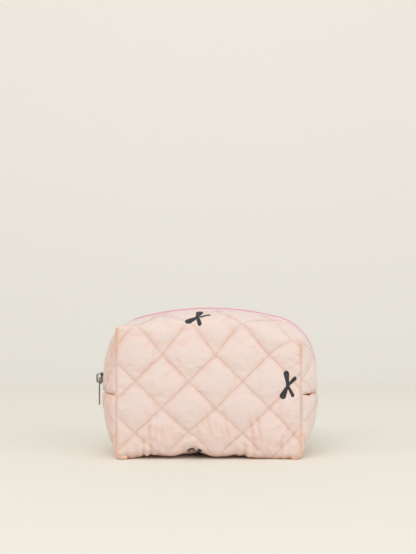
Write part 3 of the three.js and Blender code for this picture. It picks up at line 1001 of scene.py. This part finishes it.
def zipCoil(name, side, material):
    # one row of teeth is a helix along the zip line: across, a cosine; outwards, a sine of the turn;
    # the two rows are half a turn apart, so their loops lie between one another
    turns = int(zipLength / zipper["pitch"])
    steps = turns * zipper["stepsPerTurn"]
    along = np.linspace(0.4 * mm, zipLength - 0.4 * mm, steps + 1)
    turn = 2 * math.pi * np.arange(steps + 1) / zipper["stepsPerTurn"] + (math.pi if side > 0 else 0)
    x, z, nx, nz = zipAt(along)
    outer = zipper["coilHalfHigh"] * np.sin(turn) - (zipper["coilHalfHigh"] + zipper["wire"] - coilProud)
    y = side * (zipper["coilMiddle"] + zipper["coilHalfWide"] * np.cos(turn))
    path = np.stack([x + nx * outer, y, z + nz * outer], -1)
    way = np.gradient(path, axis=0)
    way /= np.linalg.norm(way, axis=1, keepdims=True)
    a = np.cross(way, np.stack([nz, 0 * nx, -nx], -1))
    a /= np.linalg.norm(a, axis=1, keepdims=True)
    b = np.cross(way, a)
    points, faces = tube(path, a * zipper["wire"], b * zipper["wire"], zipper["wireSides"])
    piece = dressed(meshFrom(name + "_teeth", points, faces), material)
    bends(piece)
    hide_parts(name)
    return piece


def zipTape(name, side, slump, material):
    # the tape runs from beside the teeth under the cloth's edge, and lies against its underside
    gap = np.linspace(coilGapY, tapeOuterY, 15)
    points = topSurface(slump, gap / halfDepth)
    x, z, nx, nz = zipAt(columnLines(slump)[0])
    shown = -form["zipSink"] + 1.15 * mm + (form["zipSink"] - 0.15 * mm) * smooth(gap / clothEdgeY)
    under = np.where(gap < clothEdgeY, shown, 1 * mm + (gap - clothEdgeY) * 0.34)
    points = points - under[None, :, None] * np.stack([nx, 0 * nx, nz], -1)[:, None]
    if side > 0:
        points = points * [1, -1, 1]
    along = np.cumsum(np.linalg.norm(np.diff(points[:, 0], axis=0, prepend=points[:1, 0]), axis=1))
    sheet = makeSheet(points, flip=side > 0)
    uv = np.stack([along[sheet["i"]], gap[sheet["j"]]], -1)
    piece = clothPiece(name + "_cloth", sheet, uv, zipper["tapeThickness"], material)
    bends(piece)
    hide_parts(name)
    return piece


def tapeMaterial():
    # a twill: one diagonal wave over the tape's own length and width, lifted as a bump
    material = plainMaterial("woven_tape", zipper["tapeColour"], 0.7)
    tree = material.node_tree
    place = addNode(tree, "UVMap", uv_map="cloth").outputs[0]
    twill = addNode(tree, "TexWave", {"Vector": place, "Scale": 450.0}, bands_direction="DIAGONAL")
    lifted = bumpNode(tree, twill.outputs["Fac"], 0.5, 0.08 * mm)
    tree.links.new(lifted, tree.nodes["Principled BSDF"].inputs["Normal"])
    return material


binding = {
    "width": 7 * mm,
    "thickness": 2.4 * mm,
    "fabric": 0.5 * mm,
    "colour": (0.74, 0.55, 0.50, 1),
}


def bindingStrip(name, path, longWay, thinWay, material):
    # tape folded over a seam allowance: a U whose bend faces into the bag, carried along the path
    long, thin = binding["width"] / 2, (binding["thickness"] - binding["fabric"]) / 2
    angle = np.linspace(-math.pi / 2, math.pi / 2, 9)
    out = np.concatenate([[-long], long - thin + thin * np.cos(angle), [-long]])
    over = np.concatenate([[-thin], thin * np.sin(angle), [thin]])
    points = path[:, None] + longWay[:, None] * out[None, :, None] + thinWay[:, None] * over[None, :, None]
    piece = clothPiece(name, makeSheet(points), None, binding["fabric"], material)
    return piece


def cornerBinding(side, face, material):
    # up a corner seam inside, with a slight sine wave along it
    stem = ("front" if face < 0 else "back") + "_" + sideName(side)
    names = [stem + "_" + part + "_binding" for part in ("lower", "upper")]
    low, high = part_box(names[0])[0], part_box(names[1])[1]
    z = np.linspace(low.z, high.z, 45)
    wave = 0.25 * mm * np.sin(z / (6 * mm))
    middle = (low + high) / 2
    path = np.stack([middle.x + wave, middle.y + wave * face * side, z], -1)
    inward = np.array([-side, -face, 0]) * math.sqrt(0.5)
    across = np.array([side, -face, 0]) * math.sqrt(0.5) * side * face
    longWay, thinWay = np.tile(inward, (len(z), 1)), np.tile(across, (len(z), 1))
    piece = bindingStrip(stem + "_binding", path, longWay, thinWay, material)
    bends(piece)
    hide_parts(*names)


def endBinding(side, material):
    # along the end seam inside: x follows half a sine from one corner to the other
    name = sideName(side) + "_end_binding"
    low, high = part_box(name)
    y = np.linspace(low.y, high.y, 41)
    nearX = max(abs(low.x), abs(high.x)) - binding["width"] / 2
    cornerX = min(abs(low.x), abs(high.x)) + binding["width"] / 2
    x = cornerX + (nearX - cornerX) * np.sqrt(np.clip(1 - (y / high.y) ** 2, 0, 1)) ** 0.9
    path = np.stack([side * x, y, 0 * y + (low.z + high.z) / 2], -1)
    inward = np.tile([-side * 1.0, 0, 0], (len(y), 1))
    up = np.tile([0, 0, -side * 1.0], (len(y), 1))
    piece = bindingStrip(name + "_tape", path, inward, up, material)
    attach(piece, "bag_body")
    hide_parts(name)


metal = {
    "colour": (0.23, 0.19, 0.165, 1),
    "roughness": 0.22,
    "edge": 0.22 * mm,
    "pullTurn": math.radians(8),  # the pull hangs a little turned on its strap
}


def metalMaterial():
    # plated steel: fine brushing along the length is noise stretched on one axis
    material = plainMaterial("plated_steel", metal["colour"], metal["roughness"])
    tree = material.node_tree
    tree.nodes["Principled BSDF"].inputs["Metallic"].default_value = 1
    spot = addNode(tree, "TexCoord").outputs["Object"]
    stretched = addNode(tree, "Mapping", {"Vector": spot, "Scale": (4000.0, 4000.0, 200.0)}).outputs[0]
    brushed = addNode(tree, "TexNoise", {"Vector": stretched, "Scale": 1.0, "Detail": 2.0}).outputs["Fac"]
    tree.links.new(bumpNode(tree, brushed, 0.15, 0.02 * mm), tree.nodes["Principled BSDF"].inputs["Normal"])
    return material


def plate(name, outline, lowX, highX, material, hole=None):
    # a flat plate across x with that outline in y and z; a hole is a second outline of as many points
    outline = np.asarray(outline)
    count = len(outline)
    here = np.arange(count)
    there = (here + 1) % count
    rings = [outline] if hole is None else [outline, np.asarray(hole)]
    points = np.concatenate([np.column_stack([np.full(count, x), ring])
                             for ring in rings for x in (lowX, highX)])
    walls = np.stack([here, there, there + count, here + count], -1)
    if hole is None:
        faces = [walls, np.stack([here[::-1], here + count])]
    else:
        inner = np.stack([here + 2 * count, here + 3 * count, there + 3 * count, there + 2 * count], -1)
        low = np.stack([here, here + 2 * count, there + 2 * count, there], -1)
        high = np.stack([here + count, there + count, there + 3 * count, here + 3 * count], -1)
        faces = [np.concatenate([walls, inner, low, high])]
    piece = meshFrom(name, points, faces, shadeSmooth=False)
    rounding = piece.modifiers.new("rounding", "BEVEL")
    rounding.width = metal["edge"]
    rounding.segments = 2
    rounding.limit_method = "ANGLE"
    dressed(piece, material)
    return piece


def roundedOutline(halfWidths, radius=0.8 * mm, perCorner=6):
    # halfWidths is (height, half width) at the bottom and at the top: a four-cornered outline with
    # round corners
    (lowZ, lowHalf), (highZ, highHalf) = halfWidths
    corners = [(lowHalf - radius, lowZ + radius, -90), (highHalf - radius, highZ - radius, 0),
               (-highHalf + radius, highZ - radius, 90), (-lowHalf + radius, lowZ + radius, 180)]
    points = []
    for y, z, start in corners:
        angle = np.radians(np.linspace(start, start + 90, perCorner))
        points.append(np.stack([y + radius * np.cos(angle), z + radius * np.sin(angle)], -1))
    return np.concatenate(points)


def slider(material):
    low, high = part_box("slider_body")
    wide = (high.y - low.y) / 2
    thick = 1 * mm
    outline = roundedOutline(((low.z, 0.8 * wide), (high.z, wide)), 1.3 * mm)
    pieces = [plate("slider_top_plate", outline, low.x, low.x + thick, material),
              plate("slider_under_plate", outline, high.x - thick, high.x, material)]
    post = roundedOutline(((high.z - 3.2 * mm, 0.3 * mm), (high.z - 0.4 * mm, 0.55 * mm)), 0.2 * mm, 3)
    pieces.append(plate("slider_post", post, low.x + thick, high.x - thick, material))
    for face in (-1, 1):
        # flanges fold in from the plates' edges and hold the teeth between them
        z = np.linspace(low.z + 1.2 * mm, high.z - 2.4 * mm, 12)
        y = face * (0.8 * wide + 0.2 * wide * (z - low.z) / (high.z - low.z) - 0.35 * mm)
        for edgeX, depth, label in ((low.x + thick, 1, "top"), (high.x - thick, -1, "under")):
            path = np.stack([0 * z + edgeX + depth * 0.25 * mm, y, z], -1)
            a = np.tile([0.4 * mm, 0, 0], (12, 1))
            b = np.tile([0, 0.32 * mm, 0], (12, 1))
            points, faces = tube(path, a, b, 12, 0.6)
            label = "slider_" + label + ("_flange_front" if face < 0 else "_flange_back")
            pieces.append(dressed(meshFrom(label, points, faces), material))
    for piece in pieces:
        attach(piece, "slider")
    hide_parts("slider_body")
    bridge(material)


def bar(name, line, width, thickness, material, body, *nodes):
    # a flat strap along a line in x and z: its section is a rounded rectangle
    fine = np.linspace(0, 1, 41)
    place = np.linspace(0, 1, len(line))
    line = np.asarray(line)
    x = np.interp(fine, place, line[:, 0])
    z = np.interp(fine, place, line[:, 1])
    for _ in range(3):
        x[1:-1] = (x[:-2] + 2 * x[1:-1] + x[2:]) / 4
        z[1:-1] = (z[:-2] + 2 * z[1:-1] + z[2:]) / 4
    path = np.stack([x, 0 * x, z], -1)
    way = np.gradient(path, axis=0)
    way /= np.linalg.norm(way, axis=1, keepdims=True)
    across = np.tile([0.0, 1.0, 0.0], (41, 1))
    points, faces = tube(path, across * width / 2, np.cross(way, across) * thickness / 2, 16, 0.55)
    piece = dressed(meshFrom(name, points, faces), material)
    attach(piece, body)
    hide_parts(*nodes)
    return piece


def bridge(material):
    low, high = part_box("slider_bridge")
    half = 0.5 * mm
    line = [
        (high.x + 0.2 * mm, low.z + half),
        (low.x + 1.6 * mm, low.z + half),
        (low.x + half, low.z + 2 * mm),
        (low.x + half, (low.z + high.z) / 2),
        (low.x + half, high.z - 2 * mm),
        (low.x + 1.6 * mm, high.z - half),
        (high.x + 0.2 * mm, high.z - half),
    ]
    bar("slider_bridge_strap", line, high.y - low.y, 2 * half, material, "slider", "slider_bridge")
    low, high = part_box("slider_lock_spring")
    x = (low.x + high.x) / 2
    line = [(x, low.z), (x, (low.z + high.z) / 2), (x, high.z)]
    bar("slider_spring_leaf", line, high.y - low.y, high.x - low.x, material, "slider", "slider_lock_spring")


def pull(material):
    low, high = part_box("zip_pull")
    half = (high.y - low.y) / 2
    holeZ = high.z - half
    angle = np.linspace(0, 2 * math.pi, 48, endpoint=False)
    # the outline, seen from the hole: each direction meets the round head, the sides or the tip
    c, s = np.cos(angle), np.sin(angle)
    head = np.stack([half * c, holeZ + half * s], -1)
    length = holeZ - low.z
    reach = np.minimum(half / np.maximum(np.abs(c), 1e-6), length / np.maximum(-s, 1e-6))
    y, drop = reach * c, reach * s
    y = y * (1 - 0.14 * smooth(-drop / length))
    tail = np.stack([y, holeZ + drop], -1)
    outline = np.where((s < 0)[:, None], tail, head)
    hole = np.stack([1.5 * mm * c, holeZ + 1.5 * mm * s], -1)
    piece = plate("zip_pull_tab", outline, low.x, high.x, material, hole)
    middle = Vector(((low.x + high.x) / 2, 0, 0))
    turn = Matrix.Rotation(metal["pullTurn"], 4, "Z")
    piece.data.transform(Matrix.Translation(middle) @ turn @ Matrix.Translation(-middle))
    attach(piece, "pull")
    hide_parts("zip_pull")


makeCamera()
lightRoom()

half, rear = studio["tableHalf"], studio["tableBack"]
table = flatBoard("table", [(-half, -half, 0), (half, -half, 0), (half, rear, 0), (-half, rear, 0)],
                  plainMaterial("tableTop", studio["tableColour"], 0.7))
half, rear = studio["wallHalf"], studio["wallDistance"]
low, high = studio["wallLow"], studio["wallHigh"]
wall = flatBoard("wall", [(-half, rear, low), (half, rear, low), (half, rear, high), (-half, rear, high)],
                 plainMaterial("wallPaint", studio["wallColour"], 0.9))
print("table and wall staged")

# how far each face's left and right ears sink, and its bottom arches: middle, height and width
slumps = {"front": (-1.6 * mm, 12.6 * mm), "back": (3 * mm, 5 * mm)}
arches = {
    "front": [(-16 * mm, 10 * mm, 14 * mm), (-55 * mm, 4.5 * mm, 18 * mm), (24 * mm, 5 * mm, 14 * mm)],
    "back": [(-20 * mm, 5 * mm, 16 * mm), (38 * mm, 6 * mm, 20 * mm)],
}


def nodesOf(side, *layers):
    # the frame's nodes of one face that end with any of these
    return [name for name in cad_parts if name.startswith(side + "_") and name.endswith(layers)]


bow = ribbonBow()
frontCloth = quiltedCloth("quilted_cloth_front", [
    ((69.6 * mm, 65.7 * mm), math.radians(10.5)),
    ((-10.5 * mm, -9.4 * mm), math.radians(-30)),
    ((-11 * mm, 124.5 * mm), math.radians(32)),
], bow)
backCloth = quiltedCloth("quilted_cloth_back", [
    ((-52 * mm, 70 * mm), math.radians(10)),
    ((36 * mm, 30 * mm), math.radians(140)),
    ((20 * mm, 128 * mm), math.radians(-20)),
], bow)
# middle, height, width, tallness, amount and lean of each ripple
frontGathers = [
    (-51 * mm, 24 * mm, 6 * mm, 9 * mm, 1.0 * mm, 0.0),
    (-56 * mm, 8 * mm, 7 * mm, 9 * mm, 1.3 * mm, 0.1),
    (-41 * mm, 26 * mm, 5 * mm, 8 * mm, 0.6 * mm, 0.0),
    (2 * mm, 30 * mm, 6 * mm, 9 * mm, 0.8 * mm, -0.2),
    (12 * mm, 27 * mm, 6 * mm, 10 * mm, 0.9 * mm, -0.2),
    (40 * mm, 26 * mm, 7 * mm, 11 * mm, 1.1 * mm, -0.15),
    (49 * mm, 27 * mm, 5 * mm, 9 * mm, 0.7 * mm, -0.1),
    (35 * mm, 6 * mm, 9 * mm, 7 * mm, 1.1 * mm, 0.0),
    (60 * mm, 12 * mm, 6 * mm, 8 * mm, 0.6 * mm, 0.0),
]
front, frontSheet = shellPiece("front_quilted_shell", slumps["front"], arches["front"], False,
                               frontGathers, frontCloth)
back, backSheet = shellPiece("back_quilted_shell", slumps["back"], arches["back"], True, [], backCloth)
for piece, side in ((front, "front"), (back, "back")):
    bends(piece)
    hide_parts(*nodesOf(side, "_panel", "_wadding"))
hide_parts("base_panel", "base_wadding")

frontStitches = quiltStitches("front_stitches", frontSheet, frontCloth, 2)
bends(frontStitches)
backStitches = quiltStitches("back_stitches", backSheet, backCloth, 2)
bends(backStitches)
for side, bows in ((-1, []), (1, [((-23.7 * mm, 126.8 * mm), -math.pi / 2)])):
    label = sideName(side) + "_end"
    endCloth = quiltedCloth("quilted_cloth_" + label, bows, bow)
    sheet = endPiece(label + "_quilted", side, endCloth)
    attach(quiltStitches(label + "_stitches", sheet, endCloth), "bag_body")

liningCloth = plainMaterial("lining_cloth", lining["colour"], 0.6)
for side in ("front", "back"):
    piece = liningShell(side + "_lining", side, slumps[side], arches[side], liningCloth)
    bends(piece)
    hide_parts(*nodesOf(side, "_lining"))
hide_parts("base_lining")
for side in (-1, 1):
    endLining(side, liningCloth)
print("lining made")

tapeCloth = tapeMaterial()
coilPlastic = plainMaterial("zip_teeth", zipper["coilColour"], 0.35)
for name, side in (("front", -1), ("back", 1)):
    zipTape(name + "_zip_tape", side, slumps[name], tapeCloth)
    zipCoil(name + "_zip_coil", side, coilPlastic)
print("zip made")
bindingTape = plainMaterial("binding_tape", binding["colour"], 0.75)
for side in (-1, 1):
    for face in (-1, 1):
        cornerBinding(side, face, bindingTape)
    endBinding(side, bindingTape)
print("bindings made")
steel = metalMaterial()
slider(steel)
pull(steel)
print("slider and pull made")
bpy.context.view_layer.update()
